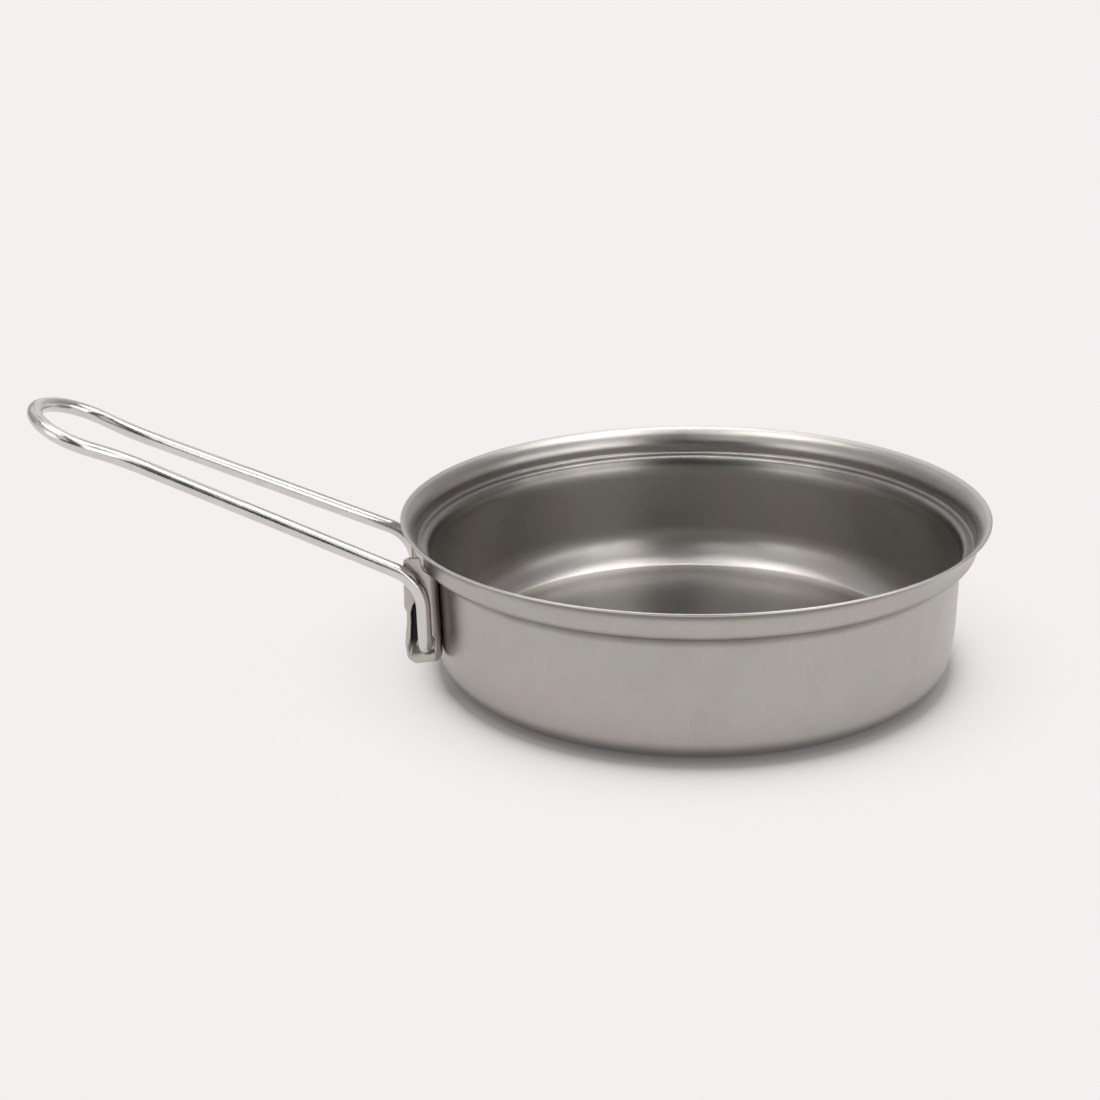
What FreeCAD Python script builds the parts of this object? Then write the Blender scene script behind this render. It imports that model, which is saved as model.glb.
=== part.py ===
import FreeCAD, Part
import Sketcher
import math
import os

# Camping cook pot set, the piece that is both lid and shallow pan, with its folding wire handle.
#
# Frame: millimetres, +Z up. The origin is the centre of the flat resting base, on the axis of the
# round pan. The handle points along -X and lies symmetrically about the XZ plane.
#
# Pieces
#   pan_shell       one spun and drawn sheet: flat base, near-upright wall, stepped ledge that sits
#                   on a pot's rim, upright band, flared lip
#   handle_bracket  one bent sheet: a web that lies on the wall and is spot-welded to it, and two
#                   ears that stand out from it, each with a pressed dimple, a pivot hole and a
#                   pressed recess beside the wire
#   wire_handle     one bent wire: two pivot ends, two upright legs, two converging legs with a
#                   pressed flat on each, and the loop at the end

doc = FreeCAD.newDocument("camping_pan_lid")
sheet = doc.addObject("Spreadsheet::Sheet", "Dims")

# The driving dimensions, in millimetres and degrees.
VALUES = [
    ("sheet_thickness", 0.5),
    ("base_corner_radius", 54.55),   # where wall and base would meet without the corner bend
    ("base_bend_radius", 6.0),
    ("shoulder_radius", 55.82),
    ("shoulder_height", 9.0),
    ("wall_top_radius", 56.1),
    ("ledge_height", 27.35),         # underside of the ledge
    ("ledge_root_bend", 1.5),
    ("ledge_edge_bend", 1.2),
    ("band_radius", 59.35),
    ("flare_start", 29.5),
    ("rim_radius", 62.0),
    ("rim_height", 33.6),            # the lower corner of the lip's cut edge
    ("bracket_half_width", 12.5),
    ("bracket_sheet", 0.8),
    ("web_low", 9.0),
    ("web_high", 25.8),
    ("web_half_angle", 12.45),
    ("pivot_reach", 58.6),           # pivot axis, measured out from the pan's axis
    ("pivot_height", 11.2),
    ("pivot_hole_radius", 1.57),
    ("dimple_radius", 2.75),
    ("dimple_depth", 0.85),
    ("dimple_boss_radius", 3.3),
    ("recess_depth", 0.45),
    ("wire_diameter", 3.0),
    ("leg_half_spacing", 14.3),
    ("pin_bend_radius", 2.2),
    ("pin_inner_end", 9.9),
    ("corner_height", 26.15),        # where the upright leg and the sloping leg would meet
    ("leg_bend_radius", 9.5),
    ("slope_rise", 26.155),          # degrees above level
    ("loop_tip_reach", 132.55),      # centre line of the loop's end
    ("waist_reach", 111.0),
    ("waist_half_spacing", 10.05),
    ("loop_end_radius", 13.0),
    ("loop_shoulder_radius", 9.4),
    ("loop_blend_radius", 30.0),
    ("loop_end_half_angle", 38.0),
    ("flat_start", 93.71),
    ("flat_end", 110.47),
    ("flat_depth", 0.17),
]
for row, (alias, value) in enumerate(VALUES, start=1):
    sheet.set("A%d" % row, alias)
    sheet.set("B%d" % row, repr(value))
    sheet.setAlias("B%d" % row, alias)
doc.recompute()


class Size:
    """A number from the sheet that remembers the expression it came from."""

    def __init__(self, value, text):
        self.value, self.text = float(value), text

    def _pair(self, other):
        return other if isinstance(other, Size) else Size(other, repr(float(other)))

    def __add__(self, other):
        o = self._pair(other)
        return Size(self.value + o.value, "(%s + %s)" % (self.text, o.text))

    def __sub__(self, other):
        o = self._pair(other)
        return Size(self.value - o.value, "(%s - %s)" % (self.text, o.text))

    def __mul__(self, other):
        o = self._pair(other)
        return Size(self.value * o.value, "(%s * %s)" % (self.text, o.text))

    def __neg__(self):
        return Size(-self.value, "(0 - %s)" % self.text)


def dim(alias):
    return Size(sheet.get(alias), "Dims.%s" % alias)


def val(alias):
    return float(sheet.get(alias))


ZERO = Size(0.0, "0")


def origin_plane(body, role):
    for feature in body.Origin.OriginFeatures:
        if feature.Role == role:
            return feature
    raise RuntimeError("no plane " + role)


def new_sketch(body, name, role, offset=None):
    """A sketch on one of the body's own origin planes; offset is a Size along the plane's normal."""
    sk = body.newObject("Sketcher::SketchObject", name)
    sk.AttachmentSupport = [(origin_plane(body, role), "")]
    sk.MapMode = "FlatFace"
    if offset is not None:
        sk.AttachmentOffset = FreeCAD.Placement(FreeCAD.Vector(0, 0, offset.value), FreeCAD.Rotation())
        sk.setExpression("AttachmentOffset.Base.z", offset.text)
    return sk


def place(sk, geo, pos, across, up):
    """Holds one point of a sketch at two coordinates that the sheet drives."""
    for kind, size, axis in (("DistanceX", across, -2), ("DistanceY", up, -1)):
        if abs(size.value) < 1e-9:
            sk.addConstraint(Sketcher.Constraint("PointOnObject", geo, pos, axis))
        elif size.value > 0:
            i = sk.addConstraint(Sketcher.Constraint(kind, -1, 1, geo, pos, size.value))
            sk.setExpression("Constraints[%d]" % i, size.text)
        else:
            i = sk.addConstraint(Sketcher.Constraint(kind, geo, pos, -1, 1, -size.value))
            sk.setExpression("Constraints[%d]" % i, (-size).text)


def polygon(sk, points, closed=True):
    """A chain of lines through points given as pairs of Size."""
    n = len(points)
    vec = [FreeCAD.Vector(a.value, b.value, 0) for a, b in points]
    first = len(sk.Geometry)
    count = n if closed else n - 1
    for i in range(count):
        sk.addGeometry(Part.LineSegment(vec[i], vec[(i + 1) % n]), False)
    for i in range(count - (0 if closed else 1)):
        sk.addConstraint(Sketcher.Constraint("Coincident", first + i, 2, first + (i + 1) % count, 1))
    for i in range(count):
        place(sk, first + i, 1, points[i][0], points[i][1])
    if not closed:
        place(sk, first + count - 1, 2, points[-1][0], points[-1][1])
    return first


def circle_edges(shape, radius, height, tol=0.02):
    """Names of the circular edges about the pan's axis at one radius and height."""
    names = []
    for i, e in enumerate(shape.Edges, start=1):
        if isinstance(e.Curve, Part.Circle):
            c = e.Curve
            if (abs(c.Radius - radius) < tol and abs(c.Center.z - height) < tol
                    and abs(c.Center.x) < tol and abs(c.Center.y) < tol):
                names.append("Edge%d" % i)
    return names


def fillet(body, name, base, edges, size):
    if not edges:
        raise RuntimeError("no edge for " + name)
    f = body.newObject("PartDesign::Fillet", name)
    f.Base = (base, edges)
    f.Radius = size.value
    f.setExpression("Radius", size.text)
    f.Refine = False
    doc.recompute()
    return f


# ---------------------------------------------------------------- pan_shell
t = dim("sheet_thickness")
pan = doc.addObject("PartDesign::Body", "pan_shell")
pan.Label = "pan_shell"
section = new_sketch(pan, "shell_section", "XZ_Plane")

band, flare0 = dim("band_radius"), dim("flare_start")
rim_r, rim_z = dim("rim_radius"), dim("rim_height")
outer = [
    (ZERO, ZERO),
    (dim("base_corner_radius"), ZERO),
    (dim("shoulder_radius"), dim("shoulder_height")),
    (dim("wall_top_radius"), dim("ledge_height")),
    (band, dim("ledge_height")),
    (band, flare0),
]
inner = [
    (band - t, flare0),
    (band - t, dim("ledge_height") + t),
    (dim("wall_top_radius") - t, dim("ledge_height") + t),
    (dim("shoulder_radius") - t, dim("shoulder_height")),
    (dim("base_corner_radius") - t, t),
    (ZERO, t),
]
# The flare is an arc that leaves the band upright, so its centre is level with its start.
dx, dz = rim_r.value - band.value, rim_z.value - flare0.value
flare_r = (dx * dx + dz * dz) / (2 * dx)
centre = FreeCAD.Vector(band.value + flare_r, flare0.value, 0)
a_end = math.atan2(dz, rim_r.value - centre.x)
rim_low = FreeCAD.Vector(rim_r.value, rim_z.value, 0)
rim_top = FreeCAD.Vector(centre.x + (flare_r + t.value) * math.cos(a_end),
                         centre.y + (flare_r + t.value) * math.sin(a_end), 0)


def vec(p):
    return FreeCAD.Vector(p[0].value, p[1].value, 0)


lines_out = []
for a, b in zip(outer[:-1], outer[1:]):
    lines_out.append(section.addGeometry(Part.LineSegment(vec(a), vec(b)), False))
arc_out = section.addGeometry(Part.ArcOfCircle(
    Part.Circle(centre, FreeCAD.Vector(0, 0, 1), flare_r), a_end, math.pi), False)
lip = section.addGeometry(Part.LineSegment(rim_low, rim_top), False)
arc_in = section.addGeometry(Part.ArcOfCircle(
    Part.Circle(centre, FreeCAD.Vector(0, 0, 1), flare_r + t.value), a_end, math.pi), False)
lines_in = []
for a, b in zip(inner[:-1], inner[1:]):
    lines_in.append(section.addGeometry(Part.LineSegment(vec(a), vec(b)), False))
axis_line = section.addGeometry(Part.LineSegment(vec(inner[-1]), vec(outer[0])), False)

C = Sketcher.Constraint
for a, b in zip(lines_out[:-1], lines_out[1:]):
    section.addConstraint(C("Coincident", a, 2, b, 1))
section.addConstraint(C("Coincident", lines_out[-1], 2, arc_out, 2))   # the arc ends at 180 degrees
section.addConstraint(C("Coincident", arc_out, 1, lip, 1))
section.addConstraint(C("Coincident", lip, 2, arc_in, 1))
section.addConstraint(C("Coincident", arc_in, 2, lines_in[0], 1))
for a, b in zip(lines_in[:-1], lines_in[1:]):
    section.addConstraint(C("Coincident", a, 2, b, 1))
section.addConstraint(C("Coincident", lines_in[-1], 2, axis_line, 1))
section.addConstraint(C("Coincident", axis_line, 2, lines_out[0], 1))
for i, g in enumerate(lines_out):
    place(section, g, 1, *outer[i])
place(section, lines_out[-1], 2, *outer[-1])
for i, g in enumerate(lines_in):
    place(section, g, 1, *inner[i])
place(section, lines_in[-1], 2, *inner[-1])
place(section, arc_out, 1, rim_r, rim_z)
i = section.addConstraint(C("DistanceY", -1, 1, arc_out, 3, flare0.value))
section.setExpression("Constraints[%d]" % i, flare0.text)
section.addConstraint(C("Coincident", arc_out, 3, arc_in, 3))
section.addConstraint(C("PointOnObject", arc_out, 3, lip))
doc.recompute()

shell = pan.newObject("PartDesign::Revolution", "shell_spun")
shell.Profile = section
shell.ReferenceAxis = (section, ["V_Axis"])
shell.Angle = 360.0
doc.recompute()
print("shell volume before bends", round(shell.Shape.Volume, 1))

S = shell.Shape
f1 = fillet(pan, "base_bend_outer", shell,
            circle_edges(S, val("base_corner_radius"), 0.0), dim("base_bend_radius"))
f2 = fillet(pan, "base_bend_inner", f1,
            circle_edges(f1.Shape, val("base_corner_radius") - t.value, t.value),
            dim("base_bend_radius") - t)
f4 = fillet(pan, "ledge_root_outer", f2,
            circle_edges(f2.Shape, val("wall_top_radius"), val("ledge_height")), dim("ledge_root_bend"))
f5 = fillet(pan, "ledge_root_inner", f4,
            circle_edges(f4.Shape, val("wall_top_radius") - t.value, val("ledge_height") + t.value),
            dim("ledge_root_bend") + t)
f6 = fillet(pan, "ledge_edge_outer", f5,
            circle_edges(f5.Shape, band.value, val("ledge_height")), dim("ledge_edge_bend"))
f7 = fillet(pan, "ledge_edge_inner", f6,
            circle_edges(f6.Shape, band.value - t.value, val("ledge_height") + t.value),
            dim("ledge_edge_bend") - t)
pan.Tip = f7
doc.recompute()
print("shell volume after bends", round(f7.Shape.Volume, 1))

# ---------------------------------------------------------------- handle_bracket
bw, bs = dim("bracket_half_width"), dim("bracket_sheet")
bracket = doc.addObject("PartDesign::Body", "handle_bracket")
bracket.Label = "handle_bracket"

# The web: a strip of sheet turned about the pan's axis, on the wall's own taper.
wall_slope = (val("wall_top_radius") - val("shoulder_radius")) / (val("ledge_height") - val("shoulder_height"))


def on_wall(height):
    """Outside radius of the pan's wall at a height between shoulder and ledge."""
    ratio = "((Dims.wall_top_radius - Dims.shoulder_radius) / (Dims.ledge_height - Dims.shoulder_height))"
    return Size(val("shoulder_radius") + (height.value - val("shoulder_height")) * wall_slope,
                "(Dims.shoulder_radius + (%s - Dims.shoulder_height) * %s)" % (height.text, ratio))


low, high = dim("web_low") + 1.0, dim("web_high")
strip = new_sketch(bracket, "web_section", "XZ_Plane")
polygon(strip, [(-on_wall(low), low), (-on_wall(high), high),
                (-(on_wall(high) + bs), high), (-(on_wall(low) + bs), low)])
web = bracket.newObject("PartDesign::Revolution", "web")
web.Profile = strip
web.ReferenceAxis = (strip, ["V_Axis"])
web.Midplane = True
web.Angle = 2 * val("web_half_angle")
web.setExpression("Angle", "2 * Dims.web_half_angle")
doc.recompute()
print("web volume", round(web.Shape.Volume, 2))

# The ears: flat plates that join the web's ends, with their outline in side view.
px, pz = dim("pivot_reach"), dim("pivot_height")
def ear_outline(outer):
    """Side view of one ear; outer holds how far its outer edge stands beyond the pivot, from the bottom up."""
    heights = (-3.9, -2.6, 0.6, 5.6, 8.2, 10.2, 17.9, 19.3)
    return [
        (-(px - 3.1), pz - 2.6),      # inner lower corner
        (-(px - 2.0), pz - 3.9),      # bottom edge, inner end
    ] + [(-(px + reach), pz + h) for reach, h in zip(outer, heights)] + [
        (-(px + 0.15), pz + 19.3),    # top edge, under the flared lip
        (-(px - 0.15), pz + 18.2),    # down beside the band
        (-(px - 0.25), pz + 17.2),
        (-(px - 0.7), pz + 16.35),    # round the band's lower bend
        (-(px - 1.4), pz + 15.9),
        (-(px - 2.3), pz + 15.0),     # below the ledge, in towards the wall
        (-(px - 2.75), pz + 5.8),
    ]


# The outer edge is fullest beside the pivot, waisted above it, and steps out again below the top corner.
OUTER = {"near": (2.3, 3.6, 4.0, 3.4, 3.45, 3.75, 3.55, 2.7),
         "far": (2.1, 3.0, 3.35, 2.4, 2.0, 1.6, 1.5, 1.3)}
last = web
for side, word in ((+1, "near"), (-1, "far")):
    # XZ_Plane faces -Y: a positive offset is towards -Y, the near side.
    inner_face = (bw - bs) if side > 0 else -(bw - bs)
    outer_face = bw if side > 0 else -bw
    sk = new_sketch(bracket, "ear_outline_" + word, "XZ_Plane", inner_face)
    polygon(sk, ear_outline(OUTER[word]))
    doc.recompute()
    pad = bracket.newObject("PartDesign::Pad", "ear_" + word)
    pad.Profile = sk
    pad.Length = bs.value
    pad.setExpression("Length", bs.text)
    pad.Reversed = side < 0
    doc.recompute()
    print("ear", word, round(pad.Shape.Volume, 2), pad.Shape.BoundBox)
    # The pressed dimple shows inside as a round boss and outside as a round hollow.
    bsk = new_sketch(bracket, "dimple_boss_" + word, "XZ_Plane", inner_face)
    g = bsk.addGeometry(Part.Circle(FreeCAD.Vector(-px.value, pz.value, 0), FreeCAD.Vector(0, 0, 1),
                                    val("dimple_boss_radius")), False)
    k = bsk.addConstraint(C("Radius", g, val("dimple_boss_radius")))
    bsk.setExpression("Constraints[%d]" % k, "Dims.dimple_boss_radius")
    place(bsk, g, 3, -px, pz)
    boss = bracket.newObject("PartDesign::Pad", "dimple_boss_pad_" + word)
    boss.Profile = bsk
    boss.Length = val("dimple_depth")
    boss.setExpression("Length", "Dims.dimple_depth")
    boss.Reversed = side > 0
    doc.recompute()
    v0 = boss.Shape.Volume
    dsk = new_sketch(bracket, "dimple_" + word, "XZ_Plane", outer_face)
    g = dsk.addGeometry(Part.Circle(FreeCAD.Vector(-px.value, pz.value, 0), FreeCAD.Vector(0, 0, 1),
                                    val("dimple_radius")), False)
    k = dsk.addConstraint(C("Radius", g, val("dimple_radius")))
    dsk.setExpression("Constraints[%d]" % k, "Dims.dimple_radius")
    place(dsk, g, 3, -px, pz)
    dimple = bracket.newObject("PartDesign::Pocket", "dimple_press_" + word)
    dimple.Profile = dsk
    dimple.Length = val("dimple_depth")
    dimple.setExpression("Length", "Dims.dimple_depth")
    dimple.Reversed = side < 0
    doc.recompute()
    print("  boss", round(v0 - pad.Shape.Volume, 2), "dimple", round(v0 - dimple.Shape.Volume, 2))
    # The pressed recess beside the leg, outboard of it: a hollow outside and a pad inside.
    if word == "near":
        hollow = ((0.9, 2.6), (2.75, 2.6), (2.55, 7.2), (1.75, 9.7), (0.9, 8.6))
        behind = ((0.45, 2.1), (3.2, 2.1), (3.0, 7.4), (1.85, 10.6), (0.45, 9.0))
    else:
        hollow = ((0.9, 2.6), (1.85, 2.6), (1.65, 7.0), (1.35, 8.4), (0.9, 8.2))
        behind = ((0.45, 2.1), (2.3, 2.1), (2.0, 7.4), (1.55, 9.2), (0.45, 9.0))
    recess = [(-(px + a), pz + b) for a, b in hollow]
    grow = [(-(px + a), pz + b) for a, b in behind]
    v0 = dimple.Shape.Volume
    rsk = new_sketch(bracket, "recess_back_" + word, "XZ_Plane", inner_face)
    polygon(rsk, grow)
    rpad = bracket.newObject("PartDesign::Pad", "recess_back_pad_" + word)
    rpad.Profile = rsk
    rpad.Length = val("recess_depth")
    rpad.setExpression("Length", "Dims.recess_depth")
    rpad.Reversed = side > 0
    doc.recompute()
    v1 = rpad.Shape.Volume
    qsk = new_sketch(bracket, "recess_" + word, "XZ_Plane", outer_face)
    polygon(qsk, recess)
    rcut = bracket.newObject("PartDesign::Pocket", "recess_press_" + word)
    rcut.Profile = qsk
    rcut.Length = val("recess_depth")
    rcut.setExpression("Length", "Dims.recess_depth")
    rcut.Reversed = side < 0
    doc.recompute()
    print("  recess pad", round(v1 - v0, 2), "cut", round(v1 - rcut.Shape.Volume, 2))
    last = rcut

# Both pivot holes in one cut, straight through the two ears.
hsk = new_sketch(bracket, "pivot_hole", "XZ_Plane")
g = hsk.addGeometry(Part.Circle(FreeCAD.Vector(-px.value, pz.value, 0), FreeCAD.Vector(0, 0, 1),
                                val("pivot_hole_radius")), False)
k = hsk.addConstraint(C("Radius", g, val("pivot_hole_radius")))
hsk.setExpression("Constraints[%d]" % k, "Dims.pivot_hole_radius")
place(hsk, g, 3, -px, pz)
hole = bracket.newObject("PartDesign::Pocket", "pivot_holes")
hole.Profile = hsk
hole.Length = 40.0
hole.Midplane = True
doc.recompute()
print("holes cut", round(last.Shape.Volume - hole.Shape.Volume, 2), "solids", len(hole.Shape.Solids))

bracket.Tip = hole
doc.recompute()

# ---------------------------------------------------------------- wire_handle
slope = math.radians(val("slope_rise"))
reach0 = val("pivot_reach")


def slope_point(reach, y):
    """A point of the sloping plane: reach is the distance out from the pan's axis, level."""
    return FreeCAD.Vector(-reach, y, val("corner_height") + (reach - reach0) * math.tan(slope))


def along(reach):
    return (reach - reach0) / math.cos(slope)


def plane_point(s, y):
    return slope_point(reach0 + s * math.cos(slope), y)


# The loop's outline in its own plane: s runs up the slope from the corner, y across.
s_w, y_w = along(val("waist_reach")), val("waist_half_spacing")
y_c = val("leg_half_spacing")
lean = math.atan2(y_c - y_w, s_w)             # how fast the legs converge
s_tip = along(val("loop_tip_reach"))
Re, Rs, Rb = val("loop_end_radius"), val("loop_shoulder_radius"), val("loop_blend_radius")
half = math.radians(val("loop_end_half_angle"))
ce = (s_tip - Re, 0.0)                         # centre of the end arc
cs = (ce[0] + (Re - Rs) * math.cos(half), (Re - Rs) * math.sin(half))   # centre of a shoulder arc
p_end = (ce[0] + Re * math.cos(half), Re * math.sin(half))
# The blend arc curves the other way: it touches the straight leg and the shoulder arc.
ux, uy = math.cos(lean), -math.sin(lean)       # along the leg, away from the corner
nx, ny = math.sin(lean), math.cos(lean)        # outwards from the leg
# centre = (0, y_c) + k*(ux, uy) + Rb*(nx, ny), at distance Rb + Rs from cs
ox, oy = Rb * nx - cs[0], y_c + Rb * ny - cs[1]
bq = ox * ux + oy * uy
cq_ = ox * ox + oy * oy - (Rb + Rs) ** 2
k_leg = -bq - math.sqrt(bq * bq - cq_)
cb = (k_leg * ux + Rb * nx, y_c + k_leg * uy + Rb * ny)
p_leg = (k_leg * ux, y_c + k_leg * uy)         # end of the straight leg
dirx, diry = (cs[0] - cb[0]) / (Rb + Rs), (cs[1] - cb[1]) / (Rb + Rs)
p_sh = (cb[0] + Rb * dirx, cb[1] + Rb * diry)  # blend arc to shoulder arc
print("straight leg ends at reach", round(reach0 + p_leg[0] * math.cos(slope), 2), "half spacing", round(p_leg[1], 2),
      "widest", round(cs[1] + Rs, 2))


def on_arc(centre_sy, radius, p, q, outward=True):
    """A point of an arc half way between p and q."""
    mx, my = (p[0] + q[0]) / 2 - centre_sy[0], (p[1] + q[1]) / 2 - centre_sy[1]
    n = math.hypot(mx, my)
    return (centre_sy[0] + radius * mx / n, centre_sy[1] + radius * my / n)


m_blend = on_arc(cb, Rb, p_leg, p_sh)
# the shoulder arc passes its widest point on the way to the end arc
a0 = math.atan2(p_sh[1] - cs[1], p_sh[0] - cs[0])
a1 = math.atan2(p_end[1] - cs[1], p_end[0] - cs[0])
am = (a0 + a1) / 2
m_sh = (cs[0] + Rs * math.cos(am), cs[1] + Rs * math.sin(am))


def bend(corner, before, after, radius):
    """Tangent points and middle of a bend of the given radius at a corner."""
    u = (before - corner).normalize()
    v = (after - corner).normalize()
    ang = u.getAngle(v)
    d = radius / math.tan(ang / 2)
    mid_dir = (u + v).normalize()
    c = corner + mid_dir * (radius / math.sin(ang / 2))
    return corner + u * d, c - mid_dir * radius, corner + v * d


def half_path(side):
    """The wire's centre line from one pivot end to the middle of the loop's end arc."""
    y = side * y_c
    pin = FreeCAD.Vector(-reach0, side * val("pin_inner_end"), val("pivot_height"))
    foot = FreeCAD.Vector(-reach0, y, val("pivot_height"))
    corner = FreeCAD.Vector(-reach0, y, val("corner_height"))
    leg_end = plane_point(p_leg[0], side * p_leg[1])
    a, b, c = bend(foot, pin, corner, val("pin_bend_radius"))
    d, e, f = bend(corner, foot, leg_end, val("leg_bend_radius"))
    edges = [Part.LineSegment(pin, a).toShape(), Part.Arc(a, b, c).toShape(),
             Part.LineSegment(c, d).toShape(), Part.Arc(d, e, f).toShape(),
             Part.LineSegment(f, leg_end).toShape(),
             Part.Arc(leg_end, plane_point(m_blend[0], side * m_blend[1]),
                      plane_point(p_sh[0], side * p_sh[1])).toShape(),
             Part.Arc(plane_point(p_sh[0], side * p_sh[1]), plane_point(m_sh[0], side * m_sh[1]),
                      plane_point(p_end[0], side * p_end[1])).toShape()]
    return edges


end_arc = Part.Arc(plane_point(p_end[0], -p_end[1]), plane_point(s_tip, 0.0),
                   plane_point(p_end[0], p_end[1])).toShape()
near = half_path(-1)
far = half_path(+1)
path_wire = Part.Wire(near + [end_arc] + list(reversed(far)))
path = doc.addObject("Part::Feature", "handle_path")
path.Shape = path_wire
print("wire length", round(path_wire.Length, 1))

ring = doc.addObject("Part::Circle", "wire_section")
ring.Radius = val("wire_diameter") / 2
ring.setExpression("Radius", "Dims.wire_diameter / 2")
ring.Placement = FreeCAD.Placement(
    FreeCAD.Vector(-reach0, -val("pin_inner_end"), val("pivot_height")),
    FreeCAD.Rotation(FreeCAD.Vector(0, 0, 1), FreeCAD.Vector(0, -1, 0)))
ring.setExpression("Placement.Base.x", "0 - Dims.pivot_reach")
ring.setExpression("Placement.Base.y", "0 - Dims.pin_inner_end")
ring.setExpression("Placement.Base.z", "Dims.pivot_height")
rod = doc.addObject("Part::Sweep", "bent_wire")
rod.Sections = [ring]
rod.Spine = path
rod.Solid = True
rod.Frenet = False
doc.recompute()
print("rod volume", round(rod.Shape.Volume, 2), "expected",
      round(math.pi * (val("wire_diameter") / 2) ** 2 * path_wire.Length, 2))

# The pressed flats: the wire is a little thinner across the plane of the handle on a stretch of each leg.
flats = []
wr = val("wire_diameter") / 2
for word, sign in (("top", 1), ("under", -1)):
    box = doc.addObject("Part::Box", "flat_" + word)
    box.setExpression("Length", "(Dims.flat_end - Dims.flat_start) / cos(Dims.slope_rise * 1deg)")
    box.setExpression("Width", "2 * Dims.leg_half_spacing + 4")
    box.Height = 2.0
    box.Label = "flat_" + word
    start = slope_point(val("flat_end"), -(val("leg_half_spacing") + 2))
    normal = FreeCAD.Vector(math.sin(slope), 0, math.cos(slope))
    rot = FreeCAD.Rotation(FreeCAD.Vector(0, 1, 0), math.degrees(slope))
    lift = wr - val("flat_depth")
    base = start + normal * (lift if sign > 0 else -lift - 2.0)
    box.Placement = FreeCAD.Placement(base, rot)
    flats.append(box)
doc.recompute()
cut1 = doc.addObject("Part::Cut", "wire_flat_top")
cut1.Base, cut1.Tool = rod, flats[0]
cut2 = doc.addObject("Part::Cut", "wire_handle")
cut2.Base, cut2.Tool = cut1, flats[1]
cut2.Label = "wire_handle"
doc.recompute()
print("flats removed", round(rod.Shape.Volume - cut2.Shape.Volume, 2))

# ---------------------------------------------------------------- checks and export
doc.recompute()
for obj in doc.Objects:
    if "Invalid" in obj.State or "Error" in obj.State:
        raise RuntimeError("failed feature: %s %s" % (obj.Name, obj.State))
os.makedirs("parts", exist_ok=True)
for part in (pan, bracket, cut2):
    shape = part.Shape
    if shape.isNull() or not shape.isValid():
        raise RuntimeError("bad shape: " + part.Label)
    if len(shape.Solids) != 1:
        raise RuntimeError("not one solid: %s %d" % (part.Label, len(shape.Solids)))
for part in (pan, bracket, cut2):
    shape = part.Shape
    shape.exportStep("parts/%s.step" % part.Label)
    b = shape.BoundBox
    print(part.Label, "volume", round(shape.Volume, 1),
          "x %.2f %.2f y %.2f %.2f z %.2f %.2f" % (b.XMin, b.XMax, b.YMin, b.YMax, b.ZMin, b.ZMax))
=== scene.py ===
import bpy, bmesh, math
import numpy as np
from mathutils import Matrix, Vector


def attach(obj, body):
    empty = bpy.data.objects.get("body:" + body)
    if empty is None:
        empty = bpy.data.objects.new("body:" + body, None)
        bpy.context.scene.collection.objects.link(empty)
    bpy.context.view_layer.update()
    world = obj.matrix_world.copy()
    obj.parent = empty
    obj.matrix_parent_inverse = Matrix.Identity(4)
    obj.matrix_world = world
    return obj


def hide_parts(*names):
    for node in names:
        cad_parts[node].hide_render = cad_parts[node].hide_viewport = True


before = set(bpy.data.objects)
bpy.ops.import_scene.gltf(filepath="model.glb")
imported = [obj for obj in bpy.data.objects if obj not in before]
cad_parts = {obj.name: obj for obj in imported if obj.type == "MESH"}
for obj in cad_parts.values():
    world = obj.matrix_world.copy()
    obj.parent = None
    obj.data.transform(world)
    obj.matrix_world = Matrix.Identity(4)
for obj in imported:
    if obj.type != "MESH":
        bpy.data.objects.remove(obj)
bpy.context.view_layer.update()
MM = 0.001
scene = bpy.context.scene
scene.view_settings.view_transform = "Standard"
scene.view_settings.look = "None"
scene.view_settings.exposure = 0.0
scene.view_settings.gamma = 1.0

# ------------------------------------------------------------------ camera
cam_data = bpy.data.cameras.new("camera")
cam = bpy.data.objects.new("camera", cam_data)
scene.collection.objects.link(cam)
cam_data.sensor_width = 36.0
cam_data.sensor_fit = "HORIZONTAL"
cam_data.lens = 36.0 * 1668.099 / 1100.0
cam_data.clip_start = 0.01
cam_data.clip_end = 100.0
cam_at = Vector((-69.435, -330.638, 146.491)) * MM
look = Vector((0.10949528, 0.93376184, -0.34073393)).normalized()
right = Vector((0.99187528, -0.12497708, -0.02375215))
right = (right - look * right.dot(look)).normalized()
up = right.cross(look)
m = Matrix((right, up, -look)).transposed().to_4x4()
m.translation = cam_at
cam.matrix_world = m
scene.camera = cam


# ------------------------------------------------------------------ geometry helpers (all in millimetres)
def rounded(points, step=0.12):
    """Points of a polyline whose corners carry a bend radius: [(x, y, r), ...]."""
    out = [np.array(points[0][:2], float)]
    for i in range(1, len(points) - 1):
        p0, p1, p2 = (np.array(points[j][:2], float) for j in (i - 1, i, i + 1))
        r = points[i][2]
        if r <= 0:
            out.append(p1)
            continue
        u, v = p0 - p1, p2 - p1
        u /= np.linalg.norm(u)
        v /= np.linalg.norm(v)
        ang = math.acos(max(-1, min(1, float(u @ v))))
        d = r / math.tan(ang / 2)
        bis = (u + v) / np.linalg.norm(u + v)
        c = p1 + bis * r / math.sin(ang / 2)
        a, b = p1 + u * d, p1 + v * d
        ta, tb = math.atan2(*(a - c)[::-1]), math.atan2(*(b - c)[::-1])
        dt = (tb - ta + math.pi) % (2 * math.pi) - math.pi
        n = max(4, int(abs(dt) * r / step), int(abs(dt) / math.radians(7)))
        for k in range(n + 1):
            t = ta + dt * k / n
            out.append(c + r * np.array([math.cos(t), math.sin(t)]))
    out.append(np.array(points[-1][:2], float))
    return out


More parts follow.
